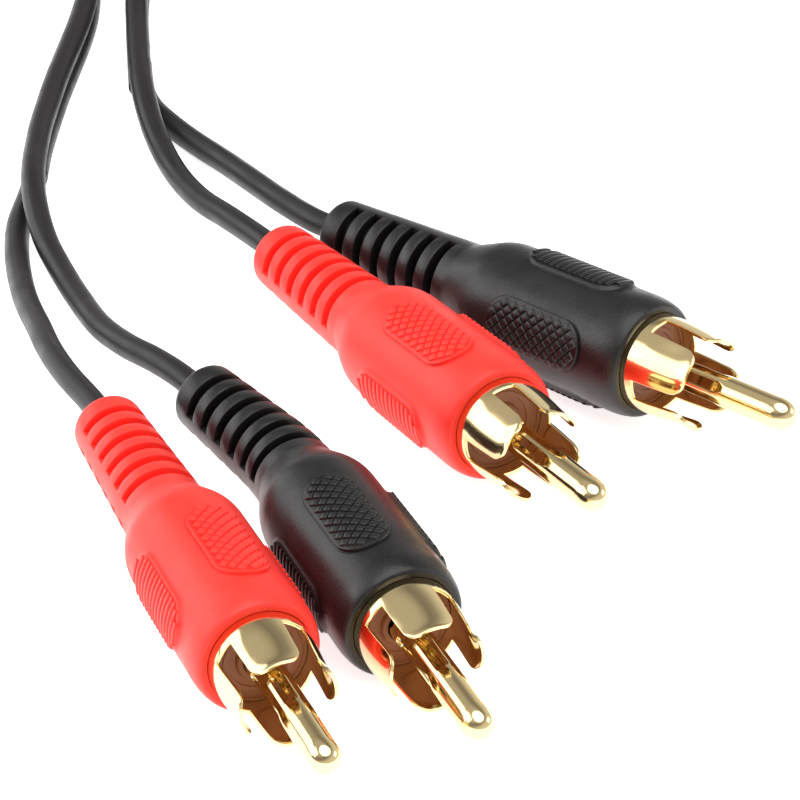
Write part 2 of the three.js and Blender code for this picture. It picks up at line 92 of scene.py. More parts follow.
floor_finish = bpy.data.materials.new("white_table")
floor_finish.use_nodes = True
floor_shader = floor_finish.node_tree.nodes["Principled BSDF"]
floor_shader.inputs["Base Color"].default_value = (0.92, 0.92, 0.92, 1)
floor_shader.inputs["Roughness"].default_value = 0.7
floor_shader.inputs["Specular IOR Level"].default_value = 0.2
floor_shader.inputs["Emission Color"].default_value = (1, 1, 1, 1)
floor_shader.inputs["Emission Strength"].default_value = 0.78
floor_mesh.materials.append(floor_finish)
print("Table:", floor_mesh.vertices[2].co.x - floor_mesh.vertices[0].co.x, "m wide")

# %% Sky
bpy.context.scene.view_settings.view_transform = "Standard"
sky = bpy.data.worlds.new("studio")
bpy.context.scene.world = sky
sky.use_nodes = True
sky_nodes = sky.node_tree.nodes
sky_links = sky.node_tree.links
background = sky_nodes["Background"]
direction = sky_nodes.new("ShaderNodeTexCoord")
upward = sky_nodes.new("ShaderNodeSeparateXYZ")
gradient = sky_nodes.new("ShaderNodeValToRGB")
SKY_LEAN = -0.42
SKY_STOPS = [(0.0, 0.75), (0.2, 0.7), (0.5, 0.3), (0.68, 0.22), (0.88, 0.5)]
while len(gradient.color_ramp.elements) < len(SKY_STOPS):
    gradient.color_ramp.elements.new(0.5)
for stop, (height, grey) in zip(gradient.color_ramp.elements, SKY_STOPS):
    stop.position = height
    stop.color = (grey, grey * 0.985, grey * 0.95, 1)
sky_links.new(direction.outputs["Generated"], upward.inputs["Vector"])
slope = sky_nodes.new("ShaderNodeMath")
slope.operation = "MULTIPLY_ADD"
slope.inputs[1].default_value = SKY_LEAN
sky_links.new(upward.outputs["X"], slope.inputs[0])
sky_links.new(upward.outputs["Z"], slope.inputs[2])
sky_links.new(slope.outputs["Value"], gradient.inputs["Fac"])
sky_links.new(gradient.outputs["Color"], background.inputs["Color"])
background.inputs["Strength"].default_value = 1
print("Sky stops:", [round(stop.position, 2) for stop in gradient.color_ramp.elements])

# %% Soft boxes
def soft_box(name, place, aim, width, height, power, shape="RECTANGLE"):
    """A broad area light, in metres and watts, that faces the point it is aimed at."""
    lamp = bpy.data.lights.new(name, "AREA")
    lamp.shape = shape
    lamp.size = width
    lamp.size_y = height
    lamp.energy = power
    box = bpy.data.objects.new(name, lamp)
    bpy.context.scene.collection.objects.link(box)
    box.location = place
    box.rotation_euler = (Vector(aim) - Vector(place)).to_track_quat("-Z", "Y").to_euler()
    return box


soft_box("overhead_box", (0.05, -0.15, 1.0), (0, 0, 0), 1.3, 1.3, 11, "ELLIPSE")
soft_box("left_box", (-0.85, 0.38, 0.36), (0, 0, 0), 1.0, 0.5, 3.2)
soft_box("right_box", (0.9, 0.1, 0.35), (0, 0, 0), 0.45, 0.3, 1.0)
soft_box("petal_box", (-0.85, -0.02, 0.52), (0, 0, 0), 0.7, 0.6, 2.4)
print("Lights:", [light.name for light in bpy.data.lights])

# %% [markdown]
# ## Where the plugs lie
# All four plugs come out of one mould, so each piece of a plug is drawn once, in the plug's
# own frame, in millimetres. There the axis is Z, with 0 at the front face of the moulding and
# the tip on the plus side, and X is the side that looks up from the table. A matrix then sets
# a copy of it on the table. Each plug has its own heading and tilt, and its moulding and its
# contacts are each turned a little about the axis, as loose plugs are.

# %% Plug places
PLUGS = {
    "front_red": {
        "face": (-16.01, -33.42), "heading": -68.4, "tilt": 0, "body": -9, "contacts": 12, "bend": 0,
    },
    "front_black": {
        "face": (-2.9, -27.65), "heading": -66.5, "tilt": -1.6, "body": 12, "contacts": 6, "bend": 11.3,
    },
    "back_red": {
        "face": (6.57, 5.09), "heading": -59, "tilt": 3.1, "body": 15, "contacts": 51, "bend": 0,
    },
    "back_black": {
        "face": (22.07, 17.21), "heading": -43.3, "tilt": 2.8, "body": 73, "contacts": 53, "bend": 0,
    },
}
REAR = -44.2
NECK = -26.2
BEND_LENGTH = 6
# The points of a plug that can touch the table: the ends of a grip pad, and the front rim.
FEET = [(-17.9, 6.575), (-5.5, 6.575), (-2.6, 6.25)]


def plug_matrix(plug, turn):
    """Takes a shape in millimetres from the plug's own frame to its place on the table, in metres."""
    yaw = math.radians(plug["heading"])
    pitch = math.radians(plug["tilt"])
    axis = Vector((math.cos(yaw) * math.cos(pitch), math.sin(yaw) * math.cos(pitch), math.sin(pitch)))
    upper = (Vector((0, 0, 1)) - axis * axis.z).normalized()
    side = axis.cross(upper)
    height = max(radius * math.cos(pitch) - along * math.sin(pitch) for along, radius in FEET)
    rotation = Matrix((upper, side, axis)).transposed().to_4x4()
    place = Matrix.Translation(Vector((*plug["face"], height)) * MM)
    return place @ rotation @ Matrix.Rotation(math.radians(turn), 4, "Z") @ Matrix.Scale(MM, 4)


def bent(point, bend):
    """Where a bent relief has a point behind the neck: round an arc to one side, then straight on."""
    behind = NECK - point.z
    if not bend or behind <= 0:
        return point
    whole = math.radians(bend)
    angle = whole * min(behind / BEND_LENGTH, 1)
    arc_radius = BEND_LENGTH / whole
    straight = max(0, behind - BEND_LENGTH)
    aside = arc_radius * (1 - math.cos(angle)) + straight * math.sin(angle)
    back = arc_radius * math.sin(angle) + straight * math.cos(angle)
    return Vector((point.x, aside + point.y * math.cos(angle), NECK - back + point.y * math.sin(angle)))


for name, plug in PLUGS.items():
    face = plug_matrix(plug, 0).translation
    print(name, "faces the socket at", [round(value / MM, 1) for value in face], "mm")

# %% [markdown]
# ## Routes of the cords
# A real cord has a fixed length, so its route comes before its shape. The single leads leave
# the strain reliefs straight, sink to the table under their own weight and meet in pairs, where
# the flat twin cord begins. Each route is a short list of points that a smooth curve passes
# through. The curve is cut into short steps, because a tube needs a ring at each of them.

# %% Smooth routes
def smooth_route(points, step=1.2):
    """Points in metres along a smooth curve through the points given in millimetres."""
    spots = [Vector(point) for point in points]
    route = []
    for i in range(len(spots) - 1):
        start, end = spots[i], spots[i + 1]
        before = spots[i - 1] if i else start
        after = spots[i + 2] if i + 2 < len(spots) else end
        reach = (end - start).length / 3
        leave = start + (end - before).normalized() * reach
        arrive = end - (after - start).normalized() * reach
        steps = max(2, round((end - start).length / step))
        route += interpolate_bezier(start, leave, arrive, end, steps + 1)[:-1]
    route.append(spots[-1])
    return [point * MM for point in route]


def route_length(route):
    return sum((after - before).length for before, after in zip(route, route[1:]))


LEAD_ROUTES = {
    "front_red": [
        (-36.5, 17.3, 6), (-38.6, 23.3, 5.2), (-40.3, 30.2, 4), (-42, 37.3, 2.7), (-43.2, 44.3, 1.7),
        (-43.9, 50.3, 1.3), (-44, 55.6, 1.3), (-43.3, 61.3, 1.3), (-42.8, 66.1, 1.3),
    ],
    "front_black": [
        (-27.9, 18.4, 7.2), (-30.9, 23.1, 6), (-33.9, 29.3, 4.5), (-36.6, 37.4, 3), (-38.8, 44.1, 2.4),
        (-40.8, 50, 2.7), (-42.1, 55.3, 3.8), (-42.7, 60.7, 4.3), (-42.8, 66.1, 4.2),
    ],
    "back_red": [
        (-21.5, 52, 4.1), (-24.8, 58.3, 2.8), (-27.5, 65.1, 1.9), (-29.5, 70.8, 2.2), (-30.9, 75.7, 3.1),
        (-31.9, 80.9, 4.1), (-32.4, 86.1, 4.2),
    ],
    "back_black": [
        (-16.1, 55.7, 4.1), (-19.5, 62.5, 2.8), (-22.6, 68.4, 1.8), (-25.6, 73, 1.3), (-28.5, 77.1, 1.3),
        (-31, 81.5, 1.3), (-32.3, 85.95, 1.3),
    ],
}
lead_routes = {}
for name, points in LEAD_ROUTES.items():
    to_table = plug_matrix(PLUGS[name], 0)
    starts = [bent(Vector((0, 0, REAR - behind)), PLUGS[name]["bend"]) for behind in (-0.1, 3.6)]
    exits = [tuple(to_table @ start / MM) for start in starts]
    lead_routes[name] = smooth_route(exits + points)
    print(name, "lead:", round(1000 * route_length(lead_routes[name]), 1), "mm")

# %% [markdown]
# ## The coil
# The photograph shows only the last few centimetres of the cord at each end. The rest of its
# length is put away as one would for storage: wound into a flat coil just outside the view, in
# two layers, and held by a strap. The lower layer spirals inwards, the cord climbs onto it, and
# the upper layer spirals back out. The cord stands on its edge, one core over the other.

# %% Twin cord route
COIL_CENTRE = (-17.9, 152.7)
OUTER_TURN = 31.0
INNER_TURN = 24.4
LOWER = 3.5
UPPER = 8.8
START_ANGLE = 218.6
TOTAL_TURN = 1755.2


def ease(value):
    """A smooth step from 0 to 1."""
    value = min(1, max(0, value))
    return value * value * (3 - 2 * value)


def coil_point(turned):
    """A point of the coil after so many degrees of winding, in millimetres."""
    angle = math.radians(START_ANGLE - turned)
    half = TOTAL_TURN / 2
    share = turned / half if turned < half else (TOTAL_TURN - turned) / half
    radius = OUTER_TURN + (INNER_TURN - OUTER_TURN) * min(1, share)
    radius += 2.9 * (1 - ease(turned / 26))
    height = LOWER + (UPPER - LOWER) * ease((turned - half + 35) / 70)
    x = COIL_CENTRE[0] + radius * math.cos(angle)
    y = COIL_CENTRE[1] + radius * math.sin(angle)
    return (x, y, height)


TO_COIL = [
    (-42.8, 66.4, 2.75), (-42.6, 71.7, 2.7), (-42.1, 77.7, 2.6), (-41.4, 84.2, 2.6), (-40.5, 90.7, 2.6),
    (-39.7, 96.7, 2.6), (-39.2, 102.7, 2.6), (-39.3, 108.7, 2.6), (-40.3, 116.7, 2.7), (-42.3, 124.2, 3),
]
FROM_COIL = [
    (-27.3, 120.4, 7.7), (-31.2, 115.7, 6.1), (-32.8, 111.5, 4.5), (-33.5, 107, 3.3), (-33.5, 102.2, 2.7),
    (-33.2, 96.7, 2.6), (-32.8, 90.7, 2.7), (-32.5, 86.4, 2.75),
]
winding = [coil_point(turned) for turned in range(0, int(TOTAL_TURN), 12)]
twin_route = smooth_route(TO_COIL + winding + FROM_COIL, step=1.5)
print("Twin cord:", round(1000 * route_length(twin_route)), "mm")
print("Turns in the coil:", round(TOTAL_TURN / 360, 2))

# %% [markdown]
# ## Cord sections
# A split lead is a round core with a torn web along it, and the twin cord is two of them side by
# side in the shape of an 8. Blender can sweep any flat outline along a curve, with a twist mode
# that keeps the outline upright. The swept curve is then turned into a mesh, so that its two
# ends can be closed and the rings stay exactly on the route. A real jacket is one piece that has
# been split, so the drawn twin cord reaches a little over the ends of its leads.

# %% Sweep a section along a route
def section_curve(name, points):
    """A closed flat outline, in millimetres, for sweeping."""
    data = bpy.data.curves.new(name, "CURVE")
    data.dimensions = "2D"
    spline = data.splines.new("POLY")
    spline.points.add(len(points) - 1)
    for spot, (x, y) in zip(spline.points, points):
        spot.co = (x * MM, y * MM, 0, 1)
    spline.use_cyclic_u = True
    outline = bpy.data.objects.new(name, data)
    bpy.context.scene.collection.objects.link(outline)
    return outline


def swept(name, route, outline):
    """A closed mesh that follows the route with the given outline, and is kept upright."""
    data = bpy.data.curves.new(name, "CURVE")
    data.dimensions = "3D"
    data.twist_mode = "Z_UP"
    data.bevel_mode = "OBJECT"
    data.bevel_object = outline
    data.use_fill_caps = True
    spline = data.splines.new("POLY")
    spline.points.add(len(route) - 1)
    for spot, place in zip(spline.points, route):
        spot.co = (*place, 1)
    guide = bpy.data.objects.new(name + "_guide", data)
    bpy.context.scene.collection.objects.link(guide)
    bpy.context.view_layer.update()
    mesh = bpy.data.meshes.new_from_object(guide.evaluated_get(bpy.context.evaluated_depsgraph_get()))
    bpy.data.objects.remove(guide)
    bm = bmesh.new()
    bm.from_mesh(mesh)
    bmesh.ops.remove_doubles(bm, verts=bm.verts, dist=0.000001)
    bmesh.ops.recalc_face_normals(bm, faces=bm.faces)
    bm.to_mesh(mesh)
    bm.free()
    mesh.name = name
    piece = bpy.data.objects.new(name, mesh)
    bpy.context.scene.collection.objects.link(piece)
    for face in mesh.polygons:
        face.use_smooth = True
    mesh.set_sharp_from_angle(angle=math.radians(50))
    return piece


def core_outline(radius, web, towards):
    """A round core with a low torn web on one side, which is +1 for above and -1 for below."""
    points = []
    for i in range(32):
        angle = 2 * math.pi * (i + 0.5) / 32
        lift = web * max(0, 1 - abs(math.cos(angle)) * 5) * (math.sin(angle) * towards > 0)
        points.append(((radius + lift) * math.cos(angle), (radius + lift) * math.sin(angle)))
    return points


def twin_outline(radius):
    """Two touching round cores with a narrow web between them, one above the other."""
    upper = []
    for i in range(25):
        angle = math.radians(-78 + i * 336 / 24)
        upper.append((radius * math.cos(angle), radius + radius * math.sin(angle)))
    return upper + [(-x, -y) for x, y in upper]


CORE_RADIUS = 1.3
JOIN_OVERLAP = 0.45 * MM


def with_overlap(route):
    """The route, reaching a little further at both ends."""
    before = route[0] + (route[0] - route[1]).normalized() * JOIN_OVERLAP
    after = route[-1] + (route[-1] - route[-2]).normalized() * JOIN_OVERLAP
    return [before, *route, after]


upper_core = section_curve("upper_core_outline", core_outline(CORE_RADIUS, 0.16, -1))
lower_core = section_curve("lower_core_outline", core_outline(CORE_RADIUS, 0.16, 1))
twin_core = section_curve("twin_outline", twin_outline(CORE_RADIUS))
print("Points round the twin cord:", len(twin_outline(CORE_RADIUS)))

# %% Leads and twin cord
cords = []
for name, route in lead_routes.items():
    outline = lower_core if name in ("front_red", "back_black") else upper_core
    lead = swept(name + "_lead_cord", route, outline)
    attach(lead, "root")
    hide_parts(name + "_lead")
    cords.append(lead)
    print(lead.name, "faces:", len(lead.data.polygons))

twin = swept("twin_cord", with_overlap(twin_route), twin_core)
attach(twin, "root")
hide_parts("front_twin_cord", "back_twin_cord", "cord_coil")
cords.append(twin)
for outline in (upper_core, lower_core, twin_core):
    bpy.data.objects.remove(outline)
print("Twin cord faces:", len(twin.data.polygons))

# %% [markdown]
# ## From a drawing in millimetres to a piece
# Each shape below is drawn once as a bmesh. For each plug a copy of it is set in place, and
# becomes an object at the origin whose place is in its mesh. Faces are shaded smooth, and edges
# that turn more than a given angle stay crisp.

# %% Set a copy in place
def set_piece(drawing, name, nodes, matrix=None, sharp=38):
    """A finished piece from a copy of a drawing: in place, riding, and standing for its CAD nodes."""
    bm = drawing.copy()
    if matrix:
        bmesh.ops.transform(bm, matrix=matrix, verts=bm.verts)
    mesh = bpy.data.meshes.new(name)
    bm.to_mesh(mesh)
    bm.free()
    for face in mesh.polygons:
        face.use_smooth = True
    mesh.set_sharp_from_angle(angle=math.radians(sharp))
    piece = bpy.data.objects.new(name, mesh)
    bpy.context.scene.collection.objects.link(piece)
    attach(piece, "root")
    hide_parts(*nodes)
    return piece


def turned_outline(outline, steps):
    """A solid of revolution about Z from [radius, place along Z] points, its ends on the axis or joined."""
    bm = bmesh.new()
    spots = [bm.verts.new((radius, 0, along)) for radius, along in outline]
    edges = [bm.edges.new(pair) for pair in zip(spots, spots[1:])]
    bmesh.ops.spin(bm, geom=spots + edges, cent=(0, 0, 0), axis=(0, 0, 1), angle=2 * math.pi,
                   steps=steps, use_merge=True)
    bmesh.ops.remove_doubles(bm, verts=bm.verts, dist=0.002)
    bmesh.ops.dissolve_degenerate(bm, dist=0.0005, edges=bm.edges)
    bmesh.ops.recalc_face_normals(bm, faces=bm.faces)
    return bm


def rounded(start, end, steps, first):
    """Points of a quarter of an ellipse. It sets off across the axis, or along it."""
    points = []
    for i in range(steps + 1):
        angle = math.pi / 2 * i / steps
        across = math.sin(angle) if first == "across" else 1 - math.cos(angle)
        along = 1 - math.cos(angle) if first == "across" else math.sin(angle)
        points.append((start[0] + (end[0] - start[0]) * across, start[1] + (end[1] - start[1]) * along))
    return points


print("A quarter round:", [tuple(round(v, 2) for v in p) for p in rounded((2, 0), (1, 1), 3, "along")])

# %% [markdown]
# ## The moulding
# The body of a plug is soft PVC, moulded straight onto the cord and the contacts. At the back
# is the strain relief: a slim cone with two rows of slots that let it bend. It flares like a
# trumpet into the barrel, whose front edge is rounded over to a flat ring round the contacts.
# Its outline is drawn as a chain of points and spun about the axis. The slots are faces of that
# surface: they are extruded, and the new faces are drawn in towards the axis, which leaves
# clean walls. The rims of the slots are then bevelled a little, as soft plastic never has a
# sharp edge.

# %% Moulding outline
SLOT_CENTRES = [-40.8 + 2.6 * i for i in range(6)]
SLOT_HALF = 0.56
RIM_FRONT = -0.9  # the soft rim stops a little short of the solid's flat front face


def relief_radius(along):
    """The slim cone of the strain relief, by its place along the axis."""
    return 3.5 + 0.75 * (along + 43.1) / 16.9


def barrel_radius(along):
    """The barrel is a little slimmer at its rear."""
    return 6.02 + 0.23 * (along + 21) / 18.4


# The flare from the relief into the barrel, and the small lip at the front rim, whose places
# are measured from the rim.
SHOULDER = [
    (4.25, -25.9), (4.31, -25.6), (4.48, -25.1), (4.92, -24), (5.36, -22.95), (5.66, -22.15),
    (5.84, -21.55), (5.96, -20.9), (6.03, -20.2),
]
LIP = [(5.6, 0), (5.5, 0), (5.4, -0.03), (5.25, -0.06), (5.12, -0.07), (5.05, -0.1), (5.02, -0.18)]


def moulding_outline():
    points = [(0, -44), (1.3, -44), (1.62, -44.16), (1.8, -44.2)]
    points += rounded((2.4, -44.2), (3.5, -43.1), 6, "across")
    for centre in SLOT_CENTRES:
        for along in (centre - SLOT_HALF, centre + SLOT_HALF):
            points.append((relief_radius(along), along))
    points += SHOULDER
    points += [(barrel_radius(along), along) for along in (-18, -14, -10, -6, -4.3)]
    points += rounded((6.25, RIM_FRONT - 2.6), (5.66, RIM_FRONT - 0.05), 10, "along")
    points += [(across, RIM_FRONT + along) for across, along in LIP]
    points += [(5.02, -3.2), (0, -3.2)]
    return points


moulding = turned_outline(moulding_outline(), 72)
print("Moulding before its slots:", len(moulding.faces), "faces")

# %% Slots of the strain relief
SLOT_FLOOR = 2.6
# A value on each point for painted shade: where it is 1, the finish blends to a darker colour as painted
# shade. The slot floors get 1 below, and the pads add their own.
painted_shade = moulding.verts.layers.float.new("painted_shade")


def in_slot(face, centre):
    """Whether a face lies in one of the two slots at this place along the relief."""
    middle = face.calc_center_median()
    angle = math.degrees(math.atan2(abs(middle.y), abs(middle.x)))
    return abs(middle.z - centre) < 0.3 and angle < 75 and Vector(middle.xy).length > 3


for centre in SLOT_CENTRES:
    skin = [face for face in moulding.faces if in_slot(face, centre)]
    pushed = bmesh.ops.extrude_face_region(moulding, geom=skin)
    floor_spots = [part for part in pushed["geom"] if isinstance(part, bmesh.types.BMVert)]
    bmesh.ops.delete(moulding, geom=skin, context="FACES_KEEP_BOUNDARY")
    # The slot floors are painted darker, as painted shade.
    for spot in floor_spots:
        spot.co.xy = spot.co.xy.normalized() * SLOT_FLOOR
        spot[painted_shade] = 1
bmesh.ops.recalc_face_normals(moulding, faces=moulding.faces)
rims = [
    edge for edge in moulding.edges
    if edge.is_manifold and edge.calc_face_angle() > math.radians(50)
    and all(-42 < spot.co.z < -27 and spot[painted_shade] == 0 for spot in edge.verts)
]
bmesh.ops.bevel(moulding, geom=rims, offset=0.11, offset_type="OFFSET", affect="EDGES", segments=2,
                profile=0.5, material=-1, clamp_overlap=True)
print("Slot rim edges:", len(rims), "faces now:", len(moulding.faces))

# %% [markdown]
# ## The grip pads
# Four pads with round ends stand on the barrel, one on each side. Two of them carry small
# pyramid studs in a diamond pattern, and the two between them carry fine ribs that run round
# the plug. A pad is drawn flat: rings of one stadium shape inside another make its rim and its
# floor, and cones with four sides or bevelled bars make the pattern. Then the flat pad is
# wrapped onto the barrel, which turns its width into an angle. A painted shade value is kept on
# the points of the floor, of the feet of the studs and ribs, and of the thin ring laid just over the
# barrel round the pad. The finish paints these darker: painted shade in the hollows, and a painted
# shadow line round the pad.

# %% Pad rim and floor
PAD_HALF_LENGTH = 6.2
PAD_HALF_WIDTH = 2.7
PAD_MIDDLE = -11.7
STUDDED_FLOOR = 0.3
RIBBED_FLOOR = 0.2


def stadium_spot(angle, inset):
    """A point of the pad's round-ended outline, at some distance inside it."""
    radius = PAD_HALF_WIDTH - inset
    straight = PAD_HALF_LENGTH - PAD_HALF_WIDTH
    along = radius * math.sin(angle) + math.copysign(straight, math.sin(angle))
    return radius * math.cos(angle), along


def pad_shell(edge, floor_height):
    """The edge and floor of a flat pad, with its height as Z. The edge lists inset, height and painted shade.
    """
    bm = bmesh.new()
    layer = bm.verts.layers.float.new("painted_shade")
    rings = list(edge)
    inner = edge[-1][0]
    # The rings of the floor follow, each with full painted shade.
    while inner < PAD_HALF_WIDTH - 0.35:
        inner += 0.32
        rings.append((min(inner, PAD_HALF_WIDTH - 0.02), floor_height, 1))
    loop = bmesh.ops.create_circle(bm, cap_ends=False, segments=48, radius=1)["verts"]
    edges = list({edge for spot in loop for edge in spot.link_edges})
    turns = {spot: math.atan2(spot.co.y, spot.co.x) + math.radians(3.75) for spot in loop}
    for number, (inset, height, depth) in enumerate(rings):
        if number:
            grown = bmesh.ops.extrude_edge_only(bm, edges=edges)["geom"]
            fresh = [part for part in grown if isinstance(part, bmesh.types.BMVert)]
            edges = [part for part in grown if isinstance(part, bmesh.types.BMEdge)]
            turns = {
                spot: next(turns[edge.other_vert(spot)] for edge in spot.link_edges
                           if edge.other_vert(spot) in turns)
                for spot in fresh
            }
        for spot, turn in turns.items():
            spot.co.xy = stadium_spot(turn, inset)
            spot.co.z = height
            spot[layer] = depth
    bmesh.ops.edgeloop_fill(bm, edges=edges)
    bmesh.ops.recalc_face_normals(bm, faces=bm.faces)
    return bm


# Each ring of a pad's edge is its inset, height and painted shade. The first rings lie just over the barrel
# outside the pad, a thin sheet painted dark as a painted shadow line round the pad, and the foot of the pad's
# side is painted darker too.
STEEP_EDGE = [(-0.16, 0.012, 0.7), (0, -0.02, 1), (0.03, 0.22, 0), (0.08, 0.3, 0), (0.16, 0.32, 0.1)]
SOFT_EDGE = [
    (-0.3, 0.005, 0.2), (-0.1, 0.03, 0.5), (0.06, 0.14, 0.3), (0.2, 0.27, 0), (0.34, 0.31, 0),
    (0.5, 0.3, 0.1),
]
print("Pad edge and floor:", len(pad_shell(STEEP_EDGE, STUDDED_FLOOR).faces), "faces")

# %% Studs and ribs
STUD_ACROSS = 0.625
STUD_ALONG = 0.595
RIB_PITCH = 0.79


def room_inside(across, along):
    """How far a point of the pad lies inside its outline."""
    beyond = max(0, abs(along) - (PAD_HALF_LENGTH - PAD_HALF_WIDTH))
    return PAD_HALF_WIDTH - math.hypot(across, beyond)


def merge_into(target, addition):
    """Adds one drawing to another by way of a passing mesh."""
    passing = bpy.data.meshes.new("passing")
    addition.to_mesh(passing)
    addition.free()
    target.from_mesh(passing)
    bpy.data.meshes.remove(passing)


def studded_pad():
    bm = pad_shell(STEEP_EDGE, STUDDED_FLOOR)
    layer = bm.verts.layers.float.get("painted_shade")
    for row in range(-11, 12):
        for column in range(-5, 6):
            across, along = column * STUD_ACROSS, row * STUD_ALONG
            if (row + column) % 2 or room_inside(across, along) < 0.42:
                continue
            stud = bmesh.ops.create_cone(
                bm, cap_ends=True, segments=4, radius1=0.6, radius2=0.44, depth=0.2,
                matrix=Matrix.Translation((across, along, 0.375)),
            )["verts"]
            # The feet of a stud are painted darker, as painted shade.
            for spot in stud:
                spot[layer] = 0.8 if spot.co.z < 0.35 else 0
            tops = {edge for spot in stud for edge in spot.link_edges
                    if all(end.co.z > 0.4 for end in edge.verts)}
            bmesh.ops.bevel(bm, geom=list(tops), offset=0.05, offset_type="OFFSET", affect="EDGES",
                            segments=1, profile=0.5, material=-1)
    return bm


def rib(half, along):
    """One rib across a pad: a bar in short lengths, with its upper edges rounded over."""
    bm = bmesh.new()
    layer = bm.verts.layers.float.new("painted_shade")
    bmesh.ops.create_cube(bm, size=1)
    bmesh.ops.scale(bm, vec=(2 * half, 0.6, 0.34), verts=bm.verts)
    bmesh.ops.translate(bm, vec=(0, along, 0.31), verts=bm.verts)
    long_edges = [edge for edge in bm.edges if abs(edge.verts[0].co.x - edge.verts[1].co.x) > half]
    bmesh.ops.subdivide_edges(bm, edges=long_edges, cuts=7)
    # The foot of a rib is painted darker, as painted shade.
    for spot in bm.verts:
        spot[layer] = 0.9 if spot.co.z < 0.3 else 0
    ridge = [edge for edge in bm.edges
             if all(end.co.z > 0.4 for end in edge.verts)
             and abs(edge.verts[0].co.y - edge.verts[1].co.y) < 0.01 and edge.calc_face_angle() > 1]
    bmesh.ops.bevel(bm, geom=ridge, offset=0.2, offset_type="OFFSET", affect="EDGES", segments=3,
                    profile=0.5, material=-1)
    return bm


def ribbed_pad():
    bm = pad_shell(SOFT_EDGE, RIBBED_FLOOR)
    for number in range(-7, 8):
        along = number * RIB_PITCH
        beyond = max(0, abs(along) - (PAD_HALF_LENGTH - PAD_HALF_WIDTH))
        half = math.sqrt((PAD_HALF_WIDTH - 0.4) ** 2 - min(beyond, 2.1) ** 2)
        merge_into(bm, rib(half, along))
    return bm


def wrapped(pad, turn):
    """Wraps a flat pad onto the barrel, at some turn about the axis."""
    for spot in pad.verts:
        along = PAD_MIDDLE + spot.co.y
        angle = turn + spot.co.x / barrel_radius(along)
        radius = barrel_radius(along) + spot.co.z
        spot.co = (radius * math.cos(angle), radius * math.sin(angle), along)
    return pad


for quarter_turn in range(4):
    pad = studded_pad() if quarter_turn % 2 == 0 else ribbed_pad()
    merge_into(moulding, wrapped(pad, quarter_turn * math.pi / 2))
print("Moulding with its pads:", len(moulding.faces), "faces")

# %% Mouldings in place
mouldings = {}
for name, plug in PLUGS.items():
    own = moulding.copy()
    bmesh.ops.rotate(own, matrix=Matrix.Rotation(math.radians(plug["body"]), 3, "Z"), verts=own.verts)
    for spot in own.verts:
        spot.co = bent(spot.co, plug["bend"])
    mouldings[name] = set_piece(own, name + "_moulding", [name + "_overmould"], plug_matrix(plug, 0))
    own.free()
print("Mouldings:", list(mouldings))

# %% [markdown]
# ## The ground shell
# The outer contact is a thin tube of gold-plated brass, pressed from sheet. Four notches part
# it into four springy petals that lean in a little and grip the socket. A flat grid is the
# simplest start: its columns become angles and its rows become places along the axis. The
# columns crowd together near the corners of each petal, and the top row dips there, which
# rounds the corners. The faces of the notches are deleted, and only then does the sheet get its
# thickness and its bevelled cut edges, which catch the light.

# %% Shell columns
SHELL_RADIUS = 5.0
SHELL_TIP = 6.6
RING_FRONT = 0.5
PETAL_HALF = math.radians(31.1)
CORNER = 1.6
SHELL_WALL = 0.36


def petal_columns():
    """Angles across a petal and the notch after it, each with how far the metal reaches there."""
    corner = []
    for i in range(7):
        turn = math.pi / 2 * i / 6
        reach = SHELL_TIP - CORNER * (1 - math.sin(turn))
        corner.append((CORNER * (1 - math.cos(turn)) / SHELL_RADIUS, reach))
    flat = PETAL_HALF - corner[-1][0]
    columns = [(-PETAL_HALF + angle, reach) for angle, reach in corner]
    columns += [(flat * i / 4, SHELL_TIP) for i in range(-3, 4)]
    columns += [(PETAL_HALF - angle, reach) for angle, reach in reversed(corner)]
    notch = math.pi / 2 - 2 * PETAL_HALF
    columns += [(PETAL_HALF + notch * i / 4, corner[0][1]) for i in range(1, 4)]
    return columns


def shell_radius(along):
    """The petals lean in, and flare a little at their tips."""
    if along <= RING_FRONT:
        return SHELL_RADIUS
    lean = ease((along - RING_FRONT) / 6) * 0.34
    flare = max(0, along - 5.3) ** 2 * 0.06
    return SHELL_RADIUS - lean + flare


print("Columns for a petal and its notch:", len(petal_columns()))

# %% Shell
def sheet_grid(columns, rows):
    """A grid with unit steps, and its points by column and row."""
    bm = bmesh.new()
    bmesh.ops.create_grid(bm, x_segments=columns, y_segments=rows, size=0.5)
    spots = {(round((spot.co.x + 0.5) * columns), round((spot.co.y + 0.5) * rows)): spot for spot in bm.verts}
    return bm, spots


def crisp_edges(bm, angle, keep):
    """The edges that turn more than some angle, where a test on the edge holds."""
    return [
        edge for edge in bm.edges
        if edge.is_manifold and edge.calc_face_angle() > math.radians(angle) and keep(edge)
    ]


